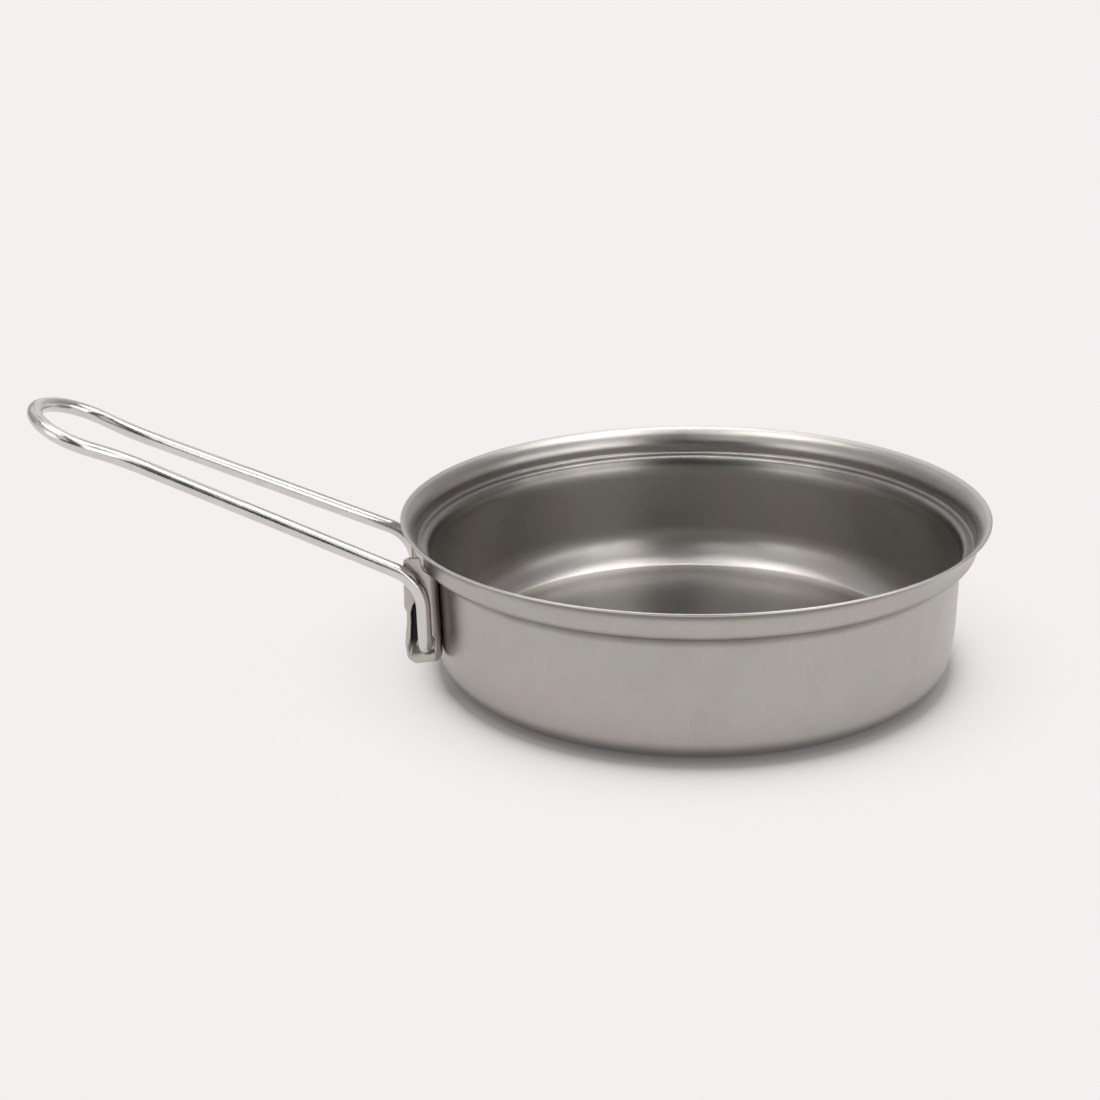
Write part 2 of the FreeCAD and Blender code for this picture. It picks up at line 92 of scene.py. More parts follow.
def densify(pts, longest):
    out = [pts[0]]
    for a, b in zip(pts[:-1], pts[1:]):
        n = max(1, int(math.ceil(np.linalg.norm(b - a) / longest)))
        for k in range(1, n + 1):
            out.append(a + (b - a) * k / n)
    return out


def mesh_object(name, verts, faces, smooth=True):
    me = bpy.data.meshes.new(name)
    me.from_pydata([tuple(v) for v in np.asarray(verts, float) * MM], [], faces)
    me.validate()
    if smooth:
        me.polygons.foreach_set("use_smooth", [True] * len(me.polygons))
    me.update()
    ob = bpy.data.objects.new(name, me)
    scene.collection.objects.link(ob)
    return ob


# ------------------------------------------------------------------ pan shell
T = 0.5
BASE_R, SHO_R, SHO_Z, WALL_R, LEDGE_Z, BAND_R, FLARE_Z, RIM_R, RIM_Z = 54.55, 55.82, 9.0, 56.1, 27.35, 59.35, 29.5, 62.0, 33.6


CREASE_R, CREASE_Z, CREASE_T = 51.3, 1.3, math.radians(42.0)
DISH_T, DISH_L = math.tan(math.radians(20.0)), 5.2


def shell_profile():
    dx, dz = RIM_R - BAND_R, RIM_Z - FLARE_Z
    rho = (dx * dx + dz * dz) / (2 * dx)
    c = np.array([BAND_R + rho, FLARE_Z])
    a_end = math.atan2(dz, RIM_R - c[0])
    outer = rounded([(0, 0, 0), (BASE_R, 0, 6.0), (SHO_R, SHO_Z, 60.0), (WALL_R, LEDGE_Z, 1.85),
                     (BAND_R, LEDGE_Z, 1.35), (BAND_R, FLARE_Z, 0)])
    flare_o = [c + rho * np.array([math.cos(t), math.sin(t)]) for t in np.linspace(math.pi, a_end, 26)]
    flare_i = [c + (rho + T) * np.array([math.cos(t), math.sin(t)]) for t in np.linspace(a_end, math.pi, 26)]
    # the cut edge of the lip, with well rounded corners
    n = (flare_i[0] - flare_o[-1]) / T
    tan = (flare_o[-1] - flare_o[-2]) / np.linalg.norm(flare_o[-1] - flare_o[-2])
    e = 0.21
    lip = []
    for k in range(0, 8):
        t = math.pi / 2 * k / 7
        lip.append(flare_o[-1] + n * (e - e * math.cos(t)) + tan * (e * math.sin(t) - e))
    for k in range(0, 8):
        t = math.pi / 2 * k / 7
        lip.append(flare_i[0] - n * (e - e * math.sin(t)) + tan * (e * math.cos(t) - e))
    flare_o = [p for p in flare_o if (flare_o[-1] - p) @ tan > e * 1.05]
    flare_i = [p for p in flare_i if (flare_i[0] - p) @ tan > e * 1.05]
    # inside, the wall bends in wide and ends at a crease; the base inside it is a shallow dish
    slant = (WALL_R - SHO_R) / (LEDGE_Z - SHO_Z)
    up = math.radians(90) - math.atan(slant)

    def wall_in(z):
        return SHO_R - T - slant * (SHO_Z - z)

    def bend(r):
        return np.array([CREASE_R - r * math.sin(CREASE_T), CREASE_Z + r * math.cos(CREASE_T)])

    lo, hi = 1.0, 20.0
    for _ in range(60):
        r = 0.5 * (lo + hi)
        q = bend(r) + r * np.array([math.sin(up), -math.cos(up)])
        lo, hi = (r, hi) if q[0] < wall_in(q[1]) else (lo, r)
    arc = [tuple(bend(r) + r * np.array([math.sin(t), -math.cos(t)])) + (0,) for t in np.linspace(up, CREASE_T, 22)]
    floor_pts = [(CREASE_R - d, CREASE_Z - DISH_T * (d - d * d / (2 * DISH_L)), 0) for d in np.linspace(0.35, DISH_L, 16)]
    inner = rounded([(BAND_R - T, FLARE_Z, 0), (BAND_R - T, LEDGE_Z + T, 0.75), (WALL_R - T + 0.9, LEDGE_Z + T, 1.28), (WALL_R - T, LEDGE_Z + T - 2.95, 14.0)] + arc[:-1] + [(CREASE_R, CREASE_Z, 0)] + floor_pts + [(0, floor_pts[-1][1], 0)])
    pts = outer[:-1] + flare_o + lip + flare_i + inner[1:]
    return pts


def spin(name, pts, n):
    pts = np.array(pts)
    ring = [i for i in range(len(pts)) if pts[i][0] > 1e-6]
    verts, faces = [], []
    ang = np.linspace(0, 2 * math.pi, n, endpoint=False)
    index = {}
    for i, p in enumerate(pts):
        if p[0] <= 1e-6:
            index[i] = [len(verts)]
            verts.append((0, 0, p[1]))
        else:
            index[i] = list(range(len(verts), len(verts) + n))
            verts += [(p[0] * math.cos(a), p[0] * math.sin(a), p[1]) for a in ang]
    for i in range(len(pts) - 1):
        a, b = index[i], index[i + 1]
        for k in range(n):
            k2 = (k + 1) % n
            if len(a) == 1:
                faces.append((a[0], b[k2], b[k]))
            elif len(b) == 1:
                faces.append((a[k], a[k2], b[0]))
            else:
                faces.append((a[k], a[k2], b[k2], b[k]))
    return mesh_object(name, verts, faces)


profile = densify(shell_profile(), 2.0)
shell = spin("pan_shell_drawn", profile, 288)

# ------------------------------------------------------------------ wire handle
WR = 1.493
PX, PZ = 58.6, 11.2
SLOPE = math.radians(26.155)
CORNER_Z = 26.15
LEG_Y = 14.3


def slope_pt(s, y):
    reach = PX + s * math.cos(SLOPE)
    return np.array([-reach, y, CORNER_Z + (reach - PX) * math.tan(SLOPE)])


def s_of(reach):
    return (reach - PX) / math.cos(SLOPE)


def handle_half():
    """Centre line of one side, from the pivot end to the middle of the loop; y is positive here."""
    s_w, y_w = s_of(111.0), 10.05
    lean = math.atan2(LEG_Y - y_w, s_w)
    s_tip = s_of(132.55)
    Re, Rs, Rb, half = 13.0, 9.4, 30.0, math.radians(38.0)
    ce = (s_tip - Re, 0.0)
    cs = (ce[0] + (Re - Rs) * math.cos(half), (Re - Rs) * math.sin(half))
    ux, uy, nx, ny = math.cos(lean), -math.sin(lean), math.sin(lean), math.cos(lean)
    ox, oy = Rb * nx - cs[0], LEG_Y + Rb * ny - cs[1]
    bq = ox * ux + oy * uy
    k_leg = -bq - math.sqrt(bq * bq - (ox * ox + oy * oy - (Rb + Rs) ** 2))
    cb = (k_leg * ux + Rb * nx, LEG_Y + k_leg * uy + Rb * ny)
    p_leg = (k_leg * ux, LEG_Y + k_leg * uy)
    d = ((cs[0] - cb[0]) / (Rb + Rs), (cs[1] - cb[1]) / (Rb + Rs))
    p_sh = (cb[0] + Rb * d[0], cb[1] + Rb * d[1])
    pts = []

    def bend3(corner, before, after, r):
        u = (before - corner) / np.linalg.norm(before - corner)
        v = (after - corner) / np.linalg.norm(after - corner)
        ang = math.acos(float(u @ v))
        dd = r / math.tan(ang / 2)
        bis = (u + v) / np.linalg.norm(u + v)
        c = corner + bis * r / math.sin(ang / 2)
        a = corner + u * dd
        e1 = (a - c) / r
        turn = math.pi - ang
        b = corner + v * dd
        e2 = (b - c) / r - e1 * math.cos(turn)
        e2 /= np.linalg.norm(e2)
        n = max(8, int(r * turn / 0.35))
        return [c + r * (e1 * math.cos(turn * k / n) + e2 * math.sin(turn * k / n)) for k in range(n + 1)]

    pin = np.array([-PX, 9.9, PZ])
    foot = np.array([-PX, LEG_Y, PZ])
    corner = np.array([-PX, LEG_Y, CORNER_Z])
    leg_end = slope_pt(*p_leg)
    pts.append(pin)
    pts += bend3(foot, pin, corner, 2.2)
    pts += bend3(corner, foot, leg_end, 9.5)
    pts.append(leg_end)

    def arc(c, r, a0, a1):
        n = max(8, int(abs(a1 - a0) * r / 0.5))
        return [slope_pt(c[0] + r * math.cos(a0 + (a1 - a0) * k / n), c[1] + r * math.sin(a0 + (a1 - a0) * k / n))
                for k in range(1, n + 1)]

    pts += arc(cb, Rb, math.atan2(p_leg[1] - cb[1], p_leg[0] - cb[0]), math.atan2(p_sh[1] - cb[1], p_sh[0] - cb[0]))
    pts += arc(cs, Rs, math.atan2(p_sh[1] - cs[1], p_sh[0] - cs[0]), half)
    pts += arc(ce, Re, half, 0.0)
    return pts


def wire_path():
    far = handle_half()
    near = [p * np.array([1, -1, 1]) for p in far]
    pts = near + far[::-1][1:]
    # keep one point each where points repeat
    out = [pts[0]]
    for p in pts[1:]:
        if np.linalg.norm(p - out[-1]) > 1e-6:
            out.append(p)
    return out


FLAT0, FLAT1 = 93.71, 110.47


def wire_stations(path):
    """Points along the path, no more than 0.55 mm apart."""
    pts = []
    for a, b in zip(path[:-1], path[1:]):
        L = np.linalg.norm(b - a)
        n = max(1, int(math.ceil(L / 0.55)))
        for k in range(n):
            pts.append(a + (b - a) * k / n)
    pts.append(path[-1])
    return np.array(pts)


def sweep_wire(name):
    pts = wire_stations(wire_path())
    n = len(pts)
    tan = np.gradient(pts, axis=0)
    tan /= np.linalg.norm(tan, axis=1)[:, None]
    normal = np.array([math.sin(SLOPE), 0, math.cos(SLOPE)])
    # frames carried from the middle of the loop, where the plane's normal is the reference
    mid = int(np.argmin(pts[:, 0]))
    N = np.zeros_like(pts)
    N[mid] = normal
    for rng in (range(mid + 1, n), range(mid - 1, -1, -1)):
        prev = mid
        for i in rng:
            v = N[prev] - tan[i] * (N[prev] @ tan[i])
            N[i] = v / np.linalg.norm(v)
            prev = i
    B = np.cross(tan, N)
    SEG = 40
    th = np.linspace(0, 2 * math.pi, SEG, endpoint=False)
    verts, faces = [], []

    def smooth01(x):
        x = min(1.0, max(0.0, x))
        return x * x * (3 - 2 * x)

    rings = []
    ends = []
    for i in range(n):
        reach = -pts[i][0]
        press = smooth01((reach - FLAT0 + 0.35) / 0.9) * smooth01((FLAT1 + 0.2 - reach) / 0.6)
        lim = WR - 0.17 * press
        side = 1 + 0.035 * press
        ring = []
        for t in th:
            a, b = WR * math.cos(t), WR * math.sin(t) * side
            a = math.copysign(min(abs(a), lim), a)
            ring.append(pts[i] + N[i] * a + B[i] * b)
        rings.append(ring)
    # rounded pivot ends
    def cap(i, sign):
        c, d = pts[i], tan[i] * sign
        caps = []
        for k in (1, 2, 3, 4):
            t = math.pi / 2 * k / 4
            r = WR - 0.35 * (1 - math.cos(t))
            off = 0.35 * math.sin(t)
            caps.append([c + d * (off - 0.35) + N[i] * r * math.cos(q) + B[i] * r * math.sin(q) for q in th])
        return caps, c
    start_caps, c0 = cap(0, -1)
    end_caps, c1 = cap(n - 1, 1)
    # the first and last rings step back so that the rounded end stays within the wire's length
    rings[0] = [p + tan[0] * 0.35 for p in rings[0]]
    rings[-1] = [p - tan[-1] * 0.35 for p in rings[-1]]
    allrings = start_caps[::-1] + rings + end_caps
    for ring in allrings:
        verts += ring
    R = len(allrings)
    for i in range(R - 1):
        for k in range(SEG):
            k2 = (k + 1) % SEG
            faces.append((i * SEG + k, i * SEG + k2, (i + 1) * SEG + k2, (i + 1) * SEG + k))
    verts.append(c0)
    verts.append(c1)
    a, b = R * SEG, R * SEG + 1
    for k in range(SEG):
        k2 = (k + 1) % SEG
        faces.append((a, k2, k))
        faces.append((b, (R - 1) * SEG + k, (R - 1) * SEG + k2))
    ob = mesh_object(name, verts, faces)
    # unwrapped along the wire: u in centimetres, v once round it, with the seam underneath
    mids = [np.mean(ring, axis=0) for ring in allrings]
    run = np.concatenate([[0.0], np.cumsum([np.linalg.norm(q - p) for p, q in zip(mids[:-1], mids[1:])])]) / 10
    layer = ob.data.uv_layers.new(name="along")
    for poly in ob.data.polygons:
        ks = [(vi % SEG + SEG // 2) % SEG for vi in poly.vertices if vi < R * SEG]
        wrap = max(ks) - min(ks) > SEG // 2
        for li in poly.loop_indices:
            vi = ob.data.loops[li].vertex_index
            if vi >= R * SEG:
                layer.data[li].uv = (run[0] if vi == R * SEG else run[-1], 0.5)
                continue
            k = (vi % SEG + SEG // 2) % SEG
            layer.data[li].uv = (run[vi // SEG], (k + (SEG if wrap and k < SEG // 2 else 0)) / SEG)
    return ob


wire = sweep_wire("wire_handle_bent")

# ------------------------------------------------------------------ handle bracket: one bent sheet
from mathutils.geometry import delaunay_2d_cdt

TH = 0.8
Z0 = 18.0
RM = 1.7                       # bend radius of the sheet's middle
EAR_Y = 11.95                  # middle of an ear, with the outer face at 12.35
PIV = (-58.6, 11.2)


def wall_r(z):
    return SHO_R + (z - SHO_Z) * (WALL_R - SHO_R) / (LEDGE_Z - SHO_Z)


def bend_centre(z):
    rr = wall_r(z) + TH / 2 + RM
    phi = math.asin((EAR_Y - RM) / rr)
    return rr, phi


rr0, phi0 = bend_centre(Z0)
CX0 = -rr0 * math.cos(phi0)
S1 = (rr0 - RM) * phi0
TURN = math.pi / 2 + phi0
S2 = S1 + RM * TURN


def smooth(x):
    x = np.clip(x, 0, 1)
    return x * x * (3 - 2 * x)


def ear_outline():
    """Boundary of one half of the developed sheet, from the web's lower edge round the ear to its upper edge."""
    def s(x):
        return S2 + (CX0 - x)
    pts = [(0.0, 10.0, 0), (S1 - 1.0, 10.0, 1.2), (S1 + 0.5, 8.45, 0.9), (s(-56.6), 7.42, 1.2), (s(-60.9), 7.3, 1.6), (s(-62.28), 8.7, 1.2),
           (s(-62.6), 11.9, 3.0), (s(-62.0), 16.7, 3.0), (s(-61.95), 18.9, 0.5), (s(-62.4), 19.9, 0.5), (s(-62.35), 21.4, 1.2), (s(-62.15), 29.3, 0.0),
           (s(-61.95), 30.1, 0.5), (s(-61.1), 30.5, 0.6), (s(-58.75), 30.45, 0.4), (s(-58.42), 29.4, 0.8), (s(-58.35), 28.4, 0.4), (s(-57.9), 27.55, 0.3), (s(-57.2), 27.05, 0.3), (s(-56.3), 26.1, 0.6), (S1, 25.75, 0.3), (0.0, 25.75, 0)]
    return [np.array(p) for p in rounded(pts, 0.25)]


def seg_dist(P, a, b):
    ab = b - a
    t = np.clip(((P - a) @ ab) / (ab @ ab), 0, 1)
    return np.linalg.norm(P - (a + t[:, None] * ab), axis=1)


def poly_dist(P, poly, closed=True):
    d = np.full(len(P), 1e9)
    n = len(poly)
    for i in range(n if closed else n - 1):
        d = np.minimum(d, seg_dist(P, poly[i], poly[(i + 1) % n]))
    return d


def inside(P, poly):
    r = np.zeros(len(P), bool)
    n = len(poly)
    for i in range(n):
        a, b = poly[i], poly[(i + 1) % n]
        c = ((a[1] > P[:, 1]) != (b[1] > P[:, 1]))
        with np.errstate(divide="ignore", invalid="ignore"):
            xi = (b[0] - a[0]) * (P[:, 1] - a[1]) / (b[1] - a[1]) + a[0]
        r ^= c & (P[:, 0] < xi)
    return r


def relief(x, z, s):
    """How far the sheet is pressed inwards, in millimetres, at ear point (x, z) or web point s."""
    ear = (s > S2 - 0.4).astype(float)
    r = np.hypot(x - PIV[0] - 0.62, z - PIV[1])
    dimple = 0.85 * smooth((2.12 - r) / 0.6)
    # the long recess in front of the open handle's leg: a steep left wall and top, fading out below and behind the leg
    left = np.interp(z, [8.0, 10.5, 13.5, 16.5, 18.6, 20.4, 22.0], [-62.2, -61.9, -61.45, -61.2, -61.15, -60.7, -59.7])
    top = 19.7 + (x + 61.2) * 1.25
    h = smooth((x - left) / 0.4) * smooth((top - z) / 0.45) * smooth((z - 8.6) / 4.6) * smooth((-58.6 - x) / 1.2)
    recess = 1.2 * h
    # a low land above the recess that the leg snaps over
    land = -0.15 * smooth((z - 19.0) / 1.2) * smooth((25.0 - z) / 2.0) * smooth((x + 62.6) / 0.5) * smooth((-59.6 - x) / 0.8)
    out = (np.maximum(dimple, recess) + land) * ear
    # relief.shade keeps the recess mask, which the bracket material uses to paint shade into the pocket
    relief.shade = np.clip(h * ear, 0, 1)
    web = np.zeros_like(out)
    for ys in (-5.2, 5.2):
        for zs in (14.0, 21.8):
            d = np.hypot(np.abs(s) - abs(ys), z - zs)
            web += 0.16 * smooth((1.75 - d) / 0.55)
    return out, web * (s < S1)


def sheet_point(S, Z, off):
    """3-D point of the developed sheet at signed length S and height Z, at off millimetres outwards from its middle."""
    s = np.abs(S)
    sg = np.where(S < 0, -1.0, 1.0)
    zc = np.clip(Z, 9.0, 27.3)
    R = wall_r(zc) + TH / 2
    rr = R + RM
    phi_e = np.arcsin((EAR_Y - RM) / rr)
    cx = -rr * np.cos(phi_e)
    turn = math.pi / 2 + phi_e
    # web
    phi = phi_e * np.clip(s / S1, 0, 1)
    nx, ny = -np.cos(phi), np.sin(phi)
    wx, wy = R * nx, R * ny
    # on the web "outwards" is away from the pan's axis, which is the inside of the channel, so the sign flips there
    X = wx - nx * off
    Y = wy - ny * off
    # bend
    t = np.clip((s - S1) / (S2 - S1), 0, 1)
    a0 = np.arctan2(-(EAR_Y - RM), -cx * 1.0)
    ang_start = -phi_e                                 # direction from the bend's centre towards the pan's axis
    ang = ang_start + turn * t
    bx = cx + (RM + off) * np.cos(ang)
    by = (EAR_Y - RM) + (RM + off) * np.sin(ang)
    m1 = s > S1
    X = np.where(m1, bx, X)
    Y = np.where(m1, by, Y)
    # ear
    e = s - S2
    xs = CX0 - e
    x_end = CX0 - 1.8
    xe = np.where(e < 1.8, cx + (x_end - cx) * np.clip(e / 1.8, 0, 1), xs)
    m2 = s > S2
    X = np.where(m2, xe, X)
    Y = np.where(m2, EAR_Y + off, Y)
    # the far ear is the narrower of the two, most of all above its pivot
    slim = 0.62 - 0.34 * smooth((Z - 12.5) / 6.5)
    X = np.where((S > 0) & (X < -58.6), -58.6 + (X + 58.6) * slim, X)
    return np.stack([X, Y * sg, Z], 1)


def build_bracket(name):
    half = ear_outline()
    loop = half + [p * np.array([-1, 1]) for p in half[::-1]]
    clean = [loop[0]]
    for p in loop[1:]:
        if np.linalg.norm(p - clean[-1]) > 1e-4:
            clean.append(p)
    if np.linalg.norm(clean[0] - clean[-1]) < 1e-4:
        clean.pop()
    poly = densify(clean + [clean[0]], 0.3)[:-1]
    poly = np.array(poly)
    # inset by the edge rounding
    E = 0.16
    n = len(poly)
    tang = np.roll(poly, -1, 0) - np.roll(poly, 1, 0)
    tang /= np.linalg.norm(tang, axis=1)[:, None]
    area = 0.5 * np.sum(poly[:, 0] * np.roll(poly[:, 1], -1) - np.roll(poly[:, 0], -1) * poly[:, 1])
    outn = np.stack([tang[:, 1], -tang[:, 0]], 1) * (1 if area > 0 else -1)
    inset = poly - outn * E
    loops = [(inset, outn)]
    NH = 56
    ang = np.linspace(0, 2 * math.pi, NH, endpoint=False)
    for sg in (-1, 1):
        c = np.array([sg * (S2 + (CX0 - PIV[0])), PIV[1]])
        d = np.stack([np.cos(ang), np.sin(ang)], 1)
        loops.append((c + d * (1.57 + E), -d))
    # interior points
    rng = np.random.default_rng(7)
    g = 0.34
    smax = poly[:, 0].max()
    xs = np.arange(-smax, smax, g)
    zs = np.arange(7, 31, g * 0.866)
    P = np.array([(x + (g / 2 if j % 2 else 0), z) for j, z in enumerate(zs) for x in xs])
    P += rng.uniform(-0.01, 0.01, P.shape)
    fine = []
    for sg in (-1, 1):
        s0 = S2 + (CX0 + 61.9)
        s1 = S2 + (CX0 + 59.9)
        gx, gz = np.meshgrid(np.arange(s1, s0, 0.16), np.arange(9.5, 23.5, 0.2))
        fine.append(np.stack([sg * gx.ravel(), gz.ravel()], 1) + rng.uniform(-0.006, 0.006, (gx.size, 2)))
    F = np.concatenate(fine)
    keep = np.ones(len(P), bool)
    for sg in (-1, 1):
        s0 = S2 + (CX0 + 62.0)
        s1 = S2 + (CX0 + 59.8)
        keep &= ~((sg * P[:, 0] > s1) & (sg * P[:, 0] < s0) & (P[:, 1] > 9.4) & (P[:, 1] < 23.6))
    P = np.concatenate([P[keep], F])
    ok = inside(P, inset) & (poly_dist(P, inset) > 0.1)
    for sg in (-1, 1):
        c = np.array([sg * (S2 + (CX0 - PIV[0])), PIV[1]])
        ok &= np.linalg.norm(P - c, axis=1) > 3.3
    P = P[ok]
    rings = []
    for sg in (-1, 1):
        c = np.array([sg * (S2 + (CX0 - PIV[0])), PIV[1]])
        for k, r in enumerate((1.84, 1.94, 2.03, 2.11, 2.19, 2.27, 2.35, 2.43, 2.51, 2.6, 2.72, 2.9, 3.12)):
            a = ang + (math.pi / NH if k % 2 == 0 else 0)
            rings.append(c + r * np.stack([np.cos(a), np.sin(a)], 1))
    RG = np.concatenate(rings)
    RG = RG[inside(RG, inset) & (poly_dist(RG, inset) > 0.07)]
    P = np.concatenate([P, RG])
    coords, edges = [], []
    for pts, _ in loops:
        b = len(coords)
        coords += [Vector(p) for p in pts]
        edges += [(b + i, b + (i + 1) % len(pts)) for i in range(len(pts))]
    nb = len(coords)
    coords += [Vector(p) for p in P]
    vo, eo, fo, vorig, eorig, forig = delaunay_2d_cdt(coords, edges, [], 0, 1e-6)
    V2 = np.array([tuple(v) for v in vo])
    back = {}
    for i, o in enumerate(vorig):
        for k in o:
            back[k] = i
    tris = []
    holes = [np.array([sg * (S2 + (CX0 - PIV[0])), PIV[1]]) for sg in (-1, 1)]
    cen = np.array([V2[list(f)].mean(0) for f in fo])
    good = inside(cen, inset)
    for hc in holes:
        good &= np.linalg.norm(cen - hc, axis=1) > 1.57 + E - 0.005
    for f, okf in zip(fo, good):
        if okf:
            tris.append(tuple(f))
    S, Z = V2[:, 0], V2[:, 1]

    def place(S, Z, off):
        s = np.abs(S)
        x = CX0 - (s - S2)
        h, w = relief(x, Z, s)
        return sheet_point(S, Z, off - h + w)

    outer = place(S, Z, TH / 2)
    shade = [np.array(relief.shade)]
    inner = place(S, Z, -TH / 2)
    N = len(V2)
    shade.append(np.zeros(N))
    verts = [outer, inner]
    faces = []
    a0 = V2[tris[0][1]] - V2[tris[0][0]]
    b0 = V2[tris[0][2]] - V2[tris[0][0]]
    for t in tris:
        p, q, r = V2[t[0]], V2[t[1]], V2[t[2]]
        ccw = (q[0] - p[0]) * (r[1] - p[1]) - (q[1] - p[1]) * (r[0] - p[0]) > 0
        a, b, c = t if ccw else (t[0], t[2], t[1])
        faces.append((a, b, c))
        faces.append((N + a, N + c, N + b))
    base = 2 * N
    kk = 0
    # rounded edges
    prof = []
    for k in range(1, 4):
        q = math.pi / 2 * k / 3
        prof.append((math.sin(q), TH / 2 - E + E * math.cos(q)))
    prof.append((1.0, 0.0))
    for k in range(3, 0, -1):
        q = math.pi / 2 * k / 3
        prof.append((math.sin(q), -(TH / 2 - E + E * math.cos(q))))
    for pts, nrm in loops:
        m = len(pts)
        ids0 = [back[kk + i] for i in range(m)]
        prev = ids0
        for u, off in prof:
            q = pts + nrm * E * u
            s = np.abs(q[:, 0])
            # relief is read at the inset point so that the edge follows the face
            x = CX0 - (np.abs(pts[:, 0]) - S2)
            h, w = relief(x, pts[:, 1], np.abs(pts[:, 0]))
            verts.append(sheet_point(q[:, 0], q[:, 1], off - h + w))
            shade.append(np.zeros(m))
            cur = list(range(base, base + m))
            base += m
            for i in range(m):
                j = (i + 1) % m
                faces.append((prev[i], cur[i], cur[j], prev[j]))
            prev = cur
        last = [N + i for i in ids0]
        for i in range(m):
            j = (i + 1) % m
            faces.append((prev[i], last[i], last[j], prev[j]))
        kk += m
    verts = np.concatenate(verts)
    ob = mesh_object(name, verts, faces)
    # the pocket attribute carries that mask for the painted shade in the pocket
    pocket = ob.data.attributes.new("pocket", "FLOAT", "POINT")
    pocket.data.foreach_set("value", np.concatenate(shade).astype(np.float32))
    bm = bmesh.new()
    bm.from_mesh(ob.data)
    loose = [v for v in bm.verts if not v.link_faces]
    bmesh.ops.delete(bm, geom=loose, context="VERTS")
    bmesh.ops.recalc_face_normals(bm, faces=bm.faces)
    bm.to_mesh(ob.data)
    bm.free()
    return ob


bracket = build_bracket("handle_bracket_pressed")

for ob, body, node, slot in ((shell, "pan", "pan_shell", "pan_metal"), (bracket, "pan", "handle_bracket", "bracket_metal"),
                             (wire, "handle", "wire_handle", "wire_metal")):
    bm = bmesh.new()
    bm.from_mesh(ob.data)
    bmesh.ops.recalc_face_normals(bm, faces=bm.faces)
    bm.to_mesh(ob.data)
    bm.free()
    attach(ob, body)
    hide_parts(node)


# ------------------------------------------------------------------ materials
class Nodes:
    """Small helper for building a node tree from left to right."""

    def __init__(self, name):
        self.mat = bpy.data.materials.new(name)
        self.mat.use_nodes = True
        self.t = self.mat.node_tree
        self.t.nodes.clear()
        self.out = self.t.nodes.new("ShaderNodeOutputMaterial")

    def node(self, kind, **values):
        n = self.t.nodes.new(kind)
        for k, v in values.items():
            if k.startswith("in_"):
                n.inputs[int(k[3:]) if k[3:].isdigit() else k[3:].replace("_", " ")].default_value = v
            else:
                setattr(n, k, v)
        return n

    def link(self, a, b):
        self.t.links.new(a, b)

    def coords(self, scale=(1, 1, 1), loc=(0, 0, 0), source="Object", rot=(0, 0, 0)):
        tc = self.node("ShaderNodeTexCoord")
        mp = self.node("ShaderNodeMapping")
        mp.inputs["Scale"].default_value = scale
        mp.inputs["Location"].default_value = loc
        mp.inputs["Rotation"].default_value = rot
        self.link(tc.outputs[source], mp.inputs["Vector"])
        return mp.outputs["Vector"]

    def noise(self, vec, scale, detail=2.0, rough=0.5, distort=0.0):
        n = self.node("ShaderNodeTexNoise")
        n.inputs["Scale"].default_value = scale
        n.inputs["Detail"].default_value = detail
        n.inputs["Roughness"].default_value = rough
        n.inputs["Distortion"].default_value = distort
        self.link(vec, n.inputs["Vector"])
        return n.outputs["Fac"]

    def remap(self, v, a, b, c=0.0, d=1.0, smooth=False):
        n = self.node("ShaderNodeMapRange")
        n.interpolation_type = "SMOOTHSTEP" if smooth else "LINEAR"
        n.inputs["From Min"].default_value = a
        n.inputs["From Max"].default_value = b
        n.inputs["To Min"].default_value = c
        n.inputs["To Max"].default_value = d
        self.link(v, n.inputs["Value"])
        return n.outputs["Result"]

    def math(self, op, a, b=None, c=None):
        n = self.node("ShaderNodeMath", operation=op)
        for i, v in enumerate((a, b, c)):
            if v is None:
                continue
            if isinstance(v, (int, float)):
                n.inputs[i].default_value = v
            else:
                self.link(v, n.inputs[i])
        return n.outputs[0]

    def mix(self, fac, a, b):
        n = self.node("ShaderNodeMix", data_type="RGBA")
        for sock, v in ((n.inputs[0], fac), (n.inputs[6], a), (n.inputs[7], b)):
            if isinstance(v, (int, float)):
                sock.default_value = v
            elif isinstance(v, (tuple, list)):
                sock.default_value = (*v, 1.0)
            else:
                self.link(v, sock)
        return n.outputs[2]

    def xyz(self, source="Object"):
        tc = self.node("ShaderNodeTexCoord")
        s = self.node("ShaderNodeSeparateXYZ")
        self.link(tc.outputs[source], s.inputs[0])
        return s.outputs[0], s.outputs[1], s.outputs[2]

    def bump(self, height, distance, strength=1.0, normal=None):
        n = self.node("ShaderNodeBump")
        n.inputs["Strength"].default_value = strength
        n.inputs["Distance"].default_value = distance
        self.link(height, n.inputs["Height"])
        if normal is not None:
            self.link(normal, n.inputs["Normal"])
        return n.outputs["Normal"]

    def metal(self, color, rough, normal, **extra):
        p = self.node("ShaderNodeBsdfPrincipled")
        p.inputs["Metallic"].default_value = 1.0
        for k, v in extra.items():
            p.inputs[k.replace("_", " ")].default_value = v
        self.link(color, p.inputs["Base Color"])
        self.link(rough, p.inputs["Roughness"])
        self.link(normal, p.inputs["Normal"])
        self.link(p.outputs[0], self.out.inputs["Surface"])
        return p


PAN_ROUGH = 0.32
PAN_COLOR = (0.425, 0.408, 0.387)


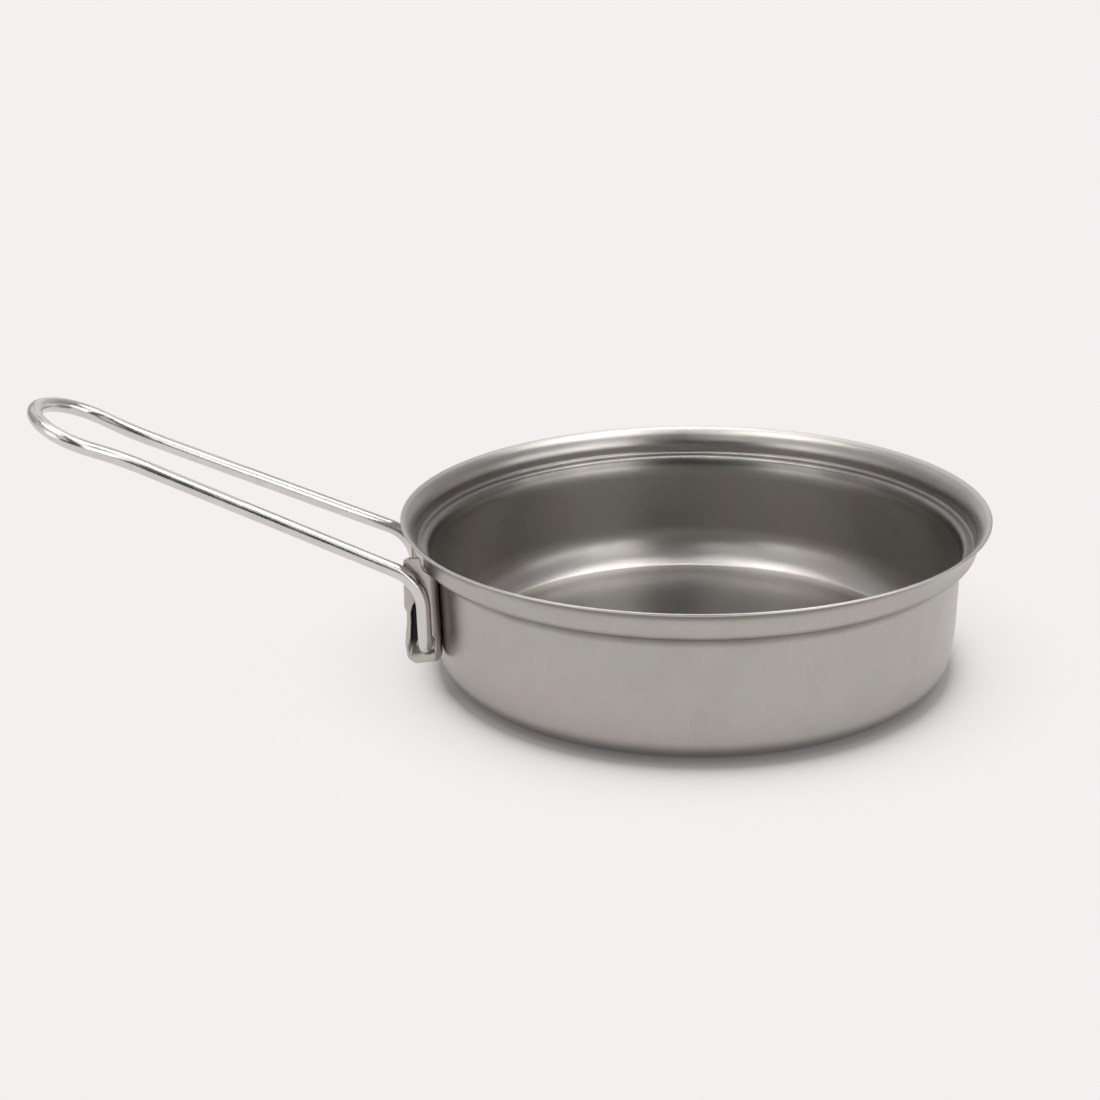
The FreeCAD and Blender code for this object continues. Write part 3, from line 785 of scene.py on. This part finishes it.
def pan_material():
    m = Nodes("titanium_satin")
    x, y, z = m.xyz()
    r = m.math("SQRT", m.math("ADD", m.math("MULTIPLY", x, x), m.math("MULTIPLY", y, y)))
    vec = m.coords()
    grain = m.noise(vec, 3900, 2, 0.6)
    grain2 = m.noise(vec, 1700, 3, 0.65)
    cloud = m.noise(vec, 150, 4, 0.6, 0.2)
    blush = m.noise(m.coords(loc=(3.1, 1.7, 0.4)), 55, 3, 0.5)
    streak = m.noise(m.coords(scale=(1, 1, 0.06)), 1100, 3, 0.6)
    scratch = m.noise(m.coords(scale=(1, 1, 0.05), rot=(0.06, 0.04, 0)), 1900, 1, 0.4)
    fleck = m.noise(m.coords(loc=(0.7, 2.2, 1.1)), 620, 1, 0.4)
    scratches = m.remap(scratch, 0.72, 0.76, 0, 1, True)
    flecks = m.remap(fleck, 0.735, 0.765, 0, 1, True)
    # fine drawing lines stay on the wall and fade out on the base
    on_wall = m.remap(r, 0.0505, 0.0535, 0, 1, True)
    lip = m.remap(z, 0.03335, 0.0337, 0, 1, True)
    off_lip = m.math("SUBTRACT", 1.0, lip)
    base = PAN_COLOR
    pink = (base[0] * 1.03, base[1] * 0.985, base[2] * 0.985)
    green = (base[0] * 0.975, base[1] * 1.0, base[2] * 0.985)
    c = m.mix(m.remap(blush, 0.38, 0.62), green, pink)
    dark = (base[0] * 0.93, base[1] * 0.925, base[2] * 0.925)
    c = m.mix(m.math("MULTIPLY", m.remap(cloud, 0.45, 0.7), 0.6), c, dark)
    c = m.mix(m.math("MULTIPLY", m.remap(grain2, 0.35, 0.7), 0.24), c, (base[0] * 1.25, base[1] * 1.25, base[2] * 1.25))
    c = m.mix(m.math("MULTIPLY", m.math("MULTIPLY", m.remap(streak, 0.5, 0.75), on_wall), 0.16), c, (base[0] * 1.15, base[1] * 1.15, base[2] * 1.15))
    c = m.mix(m.math("MULTIPLY", m.math("MULTIPLY", scratches, on_wall), 0.25), c, (base[0] * 1.3, base[1] * 1.3, base[2] * 1.3))
    c = m.mix(m.math("MULTIPLY", flecks, 0.12), c, (base[0] * 0.7, base[1] * 0.68, base[2] * 0.66))
    # painted shade: the base disc, inside and underneath, is painted darker than the spun wall
    c = m.mix(m.math("SUBTRACT", 1.0, m.remap(r, 0.0485, 0.0511, 0, 1, True)), c, (base[0] * 0.7, base[1] * 0.7, base[2] * 0.71))
    # painted shade: the outer wall just under the overhanging band is painted dark, standing in for the shadow in the
    # groove
    groove_painted_shade = m.math("MULTIPLY", m.remap(r, 0.05578, 0.05598, 0, 1, True), m.math("MULTIPLY", m.remap(z, 0.0247, 0.0262, 0, 1, True), m.remap(z, 0.0278, 0.0289, 1, 0, True)))
    c = m.mix(m.math("MULTIPLY", groove_painted_shade, m.remap(cloud, 0.3, 0.7, 0.5, 0.62)), c, (base[0] * 0.25, base[1] * 0.24, base[2] * 0.23))
    # the cut edge of the lip is lighter in colour
    c = m.mix(m.math("MULTIPLY", lip, 0.6), c, (0.66, 0.645, 0.62))
    rough = m.math("ADD", m.remap(grain2, 0.3, 0.7, PAN_ROUGH - 0.03, PAN_ROUGH + 0.03), m.remap(cloud, 0.4, 0.7, -0.015, 0.025))
    rough = m.math("ADD", rough, m.math("MULTIPLY", lip, 0.08))
    h = m.math("MULTIPLY", m.math("ADD", m.math("MULTIPLY", grain, 0.6), m.math("MULTIPLY", grain2, 0.9)), off_lip)
    n1 = m.bump(h, 0.00001, 0.3)
    n2 = m.bump(m.math("MULTIPLY", m.math("MULTIPLY", streak, on_wall), off_lip), 0.000005, 0.35, n1)
    n3 = m.bump(m.math("MULTIPLY", m.math("ADD", m.math("MULTIPLY", scratches, on_wall), m.math("MULTIPLY", flecks, 0.2)), -1.0), 0.000006, 0.4, n2)
    m.metal(c, rough, n3)
    return m.mat


def bracket_material():
    m = Nodes("titanium_bracket")
    vec = m.coords()
    grain = m.noise(vec, 3200, 2, 0.6)
    grain2 = m.noise(vec, 1300, 3, 0.6)
    mottle = m.noise(vec, 260, 4, 0.6)
    line = m.noise(m.coords(scale=(1, 1, 0.12), rot=(0, 0.35, 0)), 2400, 2, 0.5)
    base = (0.50, 0.485, 0.45)
    c = m.mix(m.remap(mottle, 0.35, 0.65), (base[0] * 0.9, base[1] * 0.9, base[2] * 0.9), (base[0] * 1.1, base[1] * 1.09, base[2] * 1.06))
    c = m.mix(m.math("MULTIPLY", m.remap(line, 0.62, 0.7), 0.35), c, (base[0] * 1.25, base[1] * 1.25, base[2] * 1.25))
    # painted shade: the pressed pocket beside the leg is painted near-black, standing in for the leg's shadow and dark
    # reflections there
    at = m.node("ShaderNodeAttribute", attribute_type="GEOMETRY", attribute_name="pocket")
    pocket_painted_shade = m.math("MULTIPLY", m.remap(at.outputs["Fac"], 0.1, 1.0, 0, 1, True), m.remap(mottle, 0.2, 0.6, 0.93, 1.0))
    c = m.mix(pocket_painted_shade, c, (0.045, 0.042, 0.04))
    rough = m.math("ADD", m.remap(grain2, 0.3, 0.7, 0.28, 0.36), m.remap(mottle, 0.35, 0.7, -0.03, 0.04))
    rough = m.math("ADD", rough, m.math("MULTIPLY", pocket_painted_shade, 0.25))
    n1 = m.bump(m.math("ADD", m.math("MULTIPLY", grain, 0.5), grain2), 0.000012, 0.5)
    n2 = m.bump(mottle, 0.00003, 0.5, n1)
    m.metal(c, rough, n2)
    return m.mat


def wire_material():
    m = Nodes("stainless_wire")
    vec = m.coords()
    drawn = m.noise(m.coords(scale=(0.9, 46, 1), source="UV"), 1.0, 3, 0.6)
    marks = m.noise(m.coords(scale=(9, 30, 1), loc=(4.0, 1.0, 0), source="UV"), 1.0, 2, 0.5)
    fine = m.noise(vec, 3000, 2, 0.5)
    smear = m.noise(m.coords(loc=(1.3, 0.2, 4.0)), 210, 3, 0.6)
    base = (0.66, 0.65, 0.635)
    c = m.mix(m.remap(smear, 0.35, 0.68), (base[0] * 0.93, base[1] * 0.93, base[2] * 0.93), (base[0] * 1.04, base[1] * 1.04, base[2] * 1.04))
    c = m.mix(m.math("MULTIPLY", m.remap(marks, 0.68, 0.76, 0, 1, True), 0.35), c, (base[0] * 0.75, base[1] * 0.74, base[2] * 0.72))
    rough = m.math("ADD", m.remap(drawn, 0.3, 0.7, 0.17, 0.26), m.remap(smear, 0.4, 0.7, -0.02, 0.05))
    n1 = m.bump(drawn, 0.000008, 0.5)
    n2 = m.bump(m.math("ADD", fine, m.math("MULTIPLY", m.remap(marks, 0.68, 0.76), -1.0)), 0.000004, 0.45, n1)
    m.metal(c, rough, n2)
    return m.mat


shell.data.materials.append(pan_material())
bracket.data.materials.append(bracket_material())
wire.data.materials.append(wire_material())


# ------------------------------------------------------------------ floor, world, lights
FLOOR = (0.905, 0.871, 0.863)
FLOOR_GLOW = 1.0
floor_me = bpy.data.meshes.new("floor")
floor_me.from_pydata([(-12, -8, -0.00005), (12, -8, -0.00005), (12, 16, -0.00005), (-12, 16, -0.00005)], [], [(0, 1, 2, 3)])
floor = bpy.data.objects.new("floor", floor_me)
scene.collection.objects.link(floor)
# pale sweep: it glows evenly far away; close to the pan its glow is taken away, a painted shadow round the base, while
# more of its light comes from a diffuse part that the pan really shades
fm = Nodes("floor_pale")
fx, fy, fz = fm.xyz()
fr = fm.math("SQRT", fm.math("ADD", fm.math("MULTIPLY", fx, fx), fm.math("MULTIPLY", fy, fy)))
# painted shadow: close and wide set how much of the glow is taken away near the pan
close = fm.math("EXPONENT", fm.math("MULTIPLY", fm.math("MAXIMUM", fm.math("SUBTRACT", fr, 0.055), 0.0), -300.0))
wide = fm.remap(fr, 0.066, 0.125, 1.0, 0.0, True)
shade = fm.math("ADD", fm.math("MULTIPLY", close, 0.72), fm.math("MULTIPLY", wide, 0.2))
albedo = fm.math("ADD", fm.math("MULTIPLY", close, 0.2), fm.math("MULTIPLY", wide, 0.165))
em = fm.node("ShaderNodeEmission")
em.inputs["Color"].default_value = (*FLOOR, 1)
fm.link(fm.math("SUBTRACT", FLOOR_GLOW, fm.math("MULTIPLY", shade, FLOOR_GLOW)), em.inputs["Strength"])
df = fm.node("ShaderNodeBsdfDiffuse")
fm.link(fm.mix(albedo, (0.0, 0.0, 0.0), (1.0, 0.965, 0.955)), df.inputs["Color"])
ad = fm.node("ShaderNodeAddShader")
fm.link(em.outputs[0], ad.inputs[0])
fm.link(df.outputs[0], ad.inputs[1])
fm.link(ad.outputs[0], fm.out.inputs["Surface"])
floor_me.materials.append(fm.mat)

world = bpy.data.worlds.new("studio")
scene.world = world
world.use_nodes = True
bg = world.node_tree.nodes.get("Background") or world.node_tree.nodes.new("ShaderNodeBackground")
wo = world.node_tree.nodes.get("World Output") or world.node_tree.nodes.new("ShaderNodeOutputWorld")
world.node_tree.links.new(bg.outputs[0], wo.inputs[0])
# beyond the floor's edge the room is as pale as the floor; all light comes from the floor and the softboxes
bg.inputs["Color"].default_value = (*FLOOR, 1)
bg.inputs["Strength"].default_value = 1.0
for ray in ("diffuse", "glossy", "transmission", "scatter"):
    setattr(world.cycles_visibility, ray, False)


def softbox(name, azimuth, elevation, distance, size, power, color=(1, 1, 1), aim=(0, 0, 0.015)):
    """A square softbox; azimuth 0 is behind the pan (+Y), 90 is to its right (+X), 180 is on the camera's side."""
    ld = bpy.data.lights.new(name, "AREA")
    ld.shape = "RECTANGLE"
    ld.size, ld.size_y = size
    ld.energy = power
    ld.color = color
    ob = bpy.data.objects.new(name, ld)
    a, e = math.radians(azimuth), math.radians(elevation)
    d = Vector((math.sin(a) * math.cos(e), math.cos(a) * math.cos(e), math.sin(e)))
    ob.location = Vector(aim) + d * distance
    ob.rotation_euler = d.to_track_quat("Z", "Y").to_euler()
    scene.collection.objects.link(ob)
    return ob


LIGHTS = [
    ("a00", 0, 12.0, 1.5, (0.78, 0.53), 1.06),
    ("a01", 30, 12.0, 1.5, (0.78, 0.53), 0.79),
    ("a02", 60, 12.0, 1.5, (0.78, 0.53), 0.52),
    ("a03", 90, 12.0, 1.5, (0.78, 0.53), 0.60),
    ("a04", 120, 12.0, 1.5, (0.78, 0.53), 2.60),
    ("a05", 150, 12.0, 1.5, (0.78, 0.53), 3.60),
    ("a08", 240, 12.0, 1.5, (0.78, 0.53), 2.60),
    ("a09", 270, 12.0, 1.5, (0.78, 0.53), 1.04),
    ("a10", 300, 12.0, 1.5, (0.78, 0.53), 0.51),
    ("a11", 330, 12.0, 1.5, (0.78, 0.53), 0.60),
    ("b00", 0, 33.5, 1.5, (0.66, 0.60), 1.09),
    ("b01", 30, 33.5, 1.5, (0.66, 0.60), 0.69),
    ("b02", 60, 33.5, 1.5, (0.66, 0.60), 0.50),
    ("b03", 90, 33.5, 1.5, (0.66, 0.60), 0.35),
    ("b04", 120, 33.5, 1.5, (0.66, 0.60), 0.75),
    ("b05", 150, 33.5, 1.5, (0.66, 0.60), 1.94),
    ("b06", 180, 33.5, 1.5, (0.66, 0.60), 0.10),
    ("b07", 210, 33.5, 1.5, (0.66, 0.60), 1.14),
    ("b08", 240, 33.5, 1.5, (0.66, 0.60), 1.13),
    ("b09", 270, 33.5, 1.5, (0.66, 0.60), 0.76),
    ("b10", 300, 33.5, 1.5, (0.66, 0.60), 0.67),
    ("b11", 330, 33.5, 1.5, (0.66, 0.60), 1.05),
    ("c00", 0, 57.0, 1.5, (0.64, 0.65), 1.38),
    ("c01", 45, 57.0, 1.5, (0.64, 0.65), 0.90),
    ("c02", 90, 64.0, 1.5, (0.64, 0.65), 4.60),
    ("c03", 135, 64.0, 1.5, (0.64, 0.65), 3.40),
    ("c04", 180, 57.0, 1.5, (0.64, 0.65), 0.10),
    ("c05", 225, 64.0, 1.5, (0.64, 0.65), 2.40),
    ("c06", 270, 64.0, 1.5, (0.64, 0.65), 4.20),
    ("c07", 315, 57.0, 1.5, (0.64, 0.65), 1.11),
    ("d00", 0, 80.0, 1.5, (0.42, 0.50), 2.20),
    ("d01", 90, 80.0, 1.5, (0.42, 0.50), 0.80),
    ("d03", 270, 80.0, 1.5, (0.42, 0.50), 0.39),
]
for row in LIGHTS:
    softbox(*row)

bpy.context.view_layer.update()
